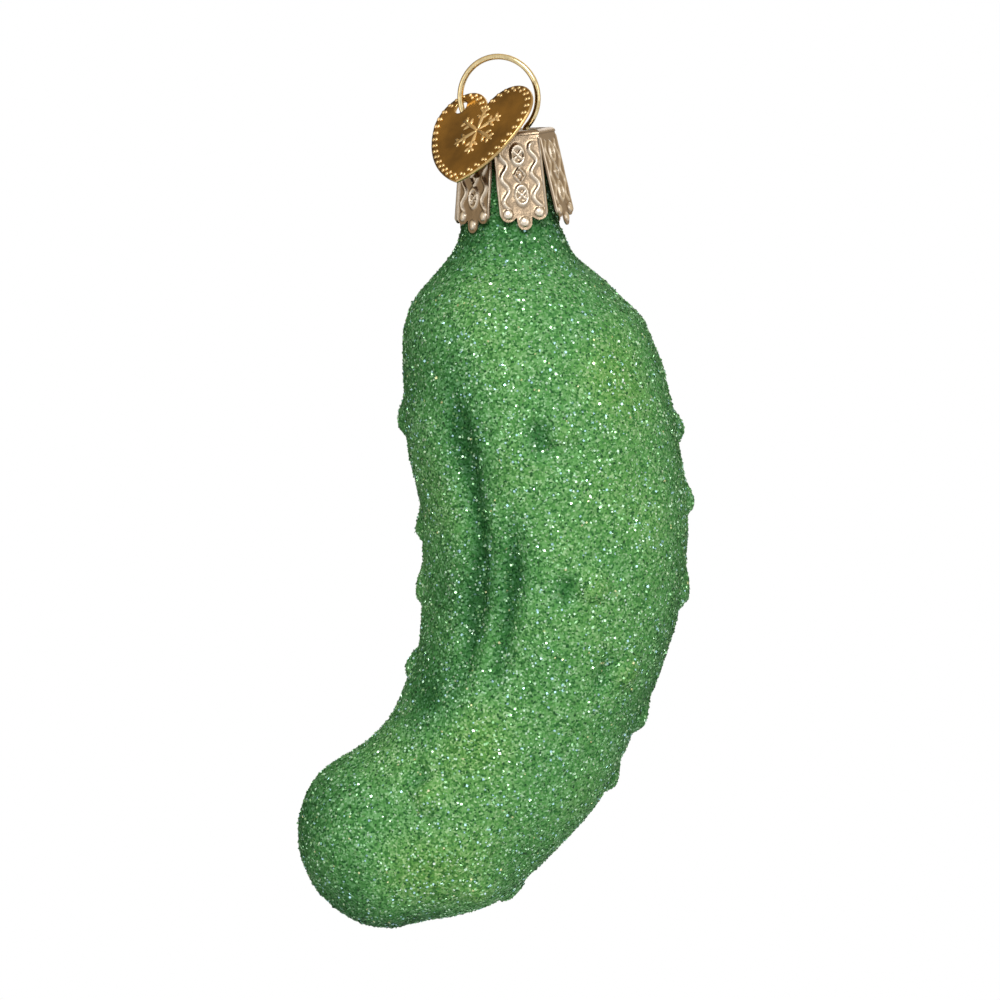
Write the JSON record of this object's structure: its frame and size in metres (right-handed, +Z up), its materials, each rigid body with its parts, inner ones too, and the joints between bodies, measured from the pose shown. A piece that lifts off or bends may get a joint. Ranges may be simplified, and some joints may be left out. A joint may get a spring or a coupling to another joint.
{
  "type": "pickle ornament",
  "caption": "Hanging blown-glass pickle with a green glitter skin, a scalloped metal cap on its neck, a spring-wire hanging loop and a small heart tag on the loop.",
  "frame": {"origin": "the hang point, at the inside of the top of the wire loop", "axes": "+Z up along the neck and the line of hanging, -Y towards the viewer, and the pickle's lower end curls towards -X"},
  "size_m": [0.0539, 0.0334, 0.1107],
  "materials": {
    "silvered_glass": "clear glass, silvered inside",
    "green_glitter": "green lacquer strewn with fine clear and dark green glitter",
    "cap_metal": "stamped champagne-gold sheet metal",
    "hanger_brass": "bright drawn spring wire",
    "tag_gold": "polished gold plate with a beaded border"
  },
  "bodies": {
    "hanger": {"hanger_wire": "hanger_brass", "cap": "cap_metal"},
    "glass": {"glass_shell": "silvered_glass", "glitter_coat": "green_glitter"},
    "tag": {"heart_tag": "tag_gold"}
  },
  "joints": [
    {"name": "cap_pull", "type": "slide", "parent": "hanger", "child": "glass", "axis": [0, 0, -1], "range_m": [0, 0.02]},
    {"name": "tag_lift", "type": "hinge", "parent": "hanger", "child": "tag", "pos_m": [-0.00483, 0.00166, -0.00582], "axis": [-0.682, 0.7314, 0], "range_deg": [0, 85]}
  ]
}
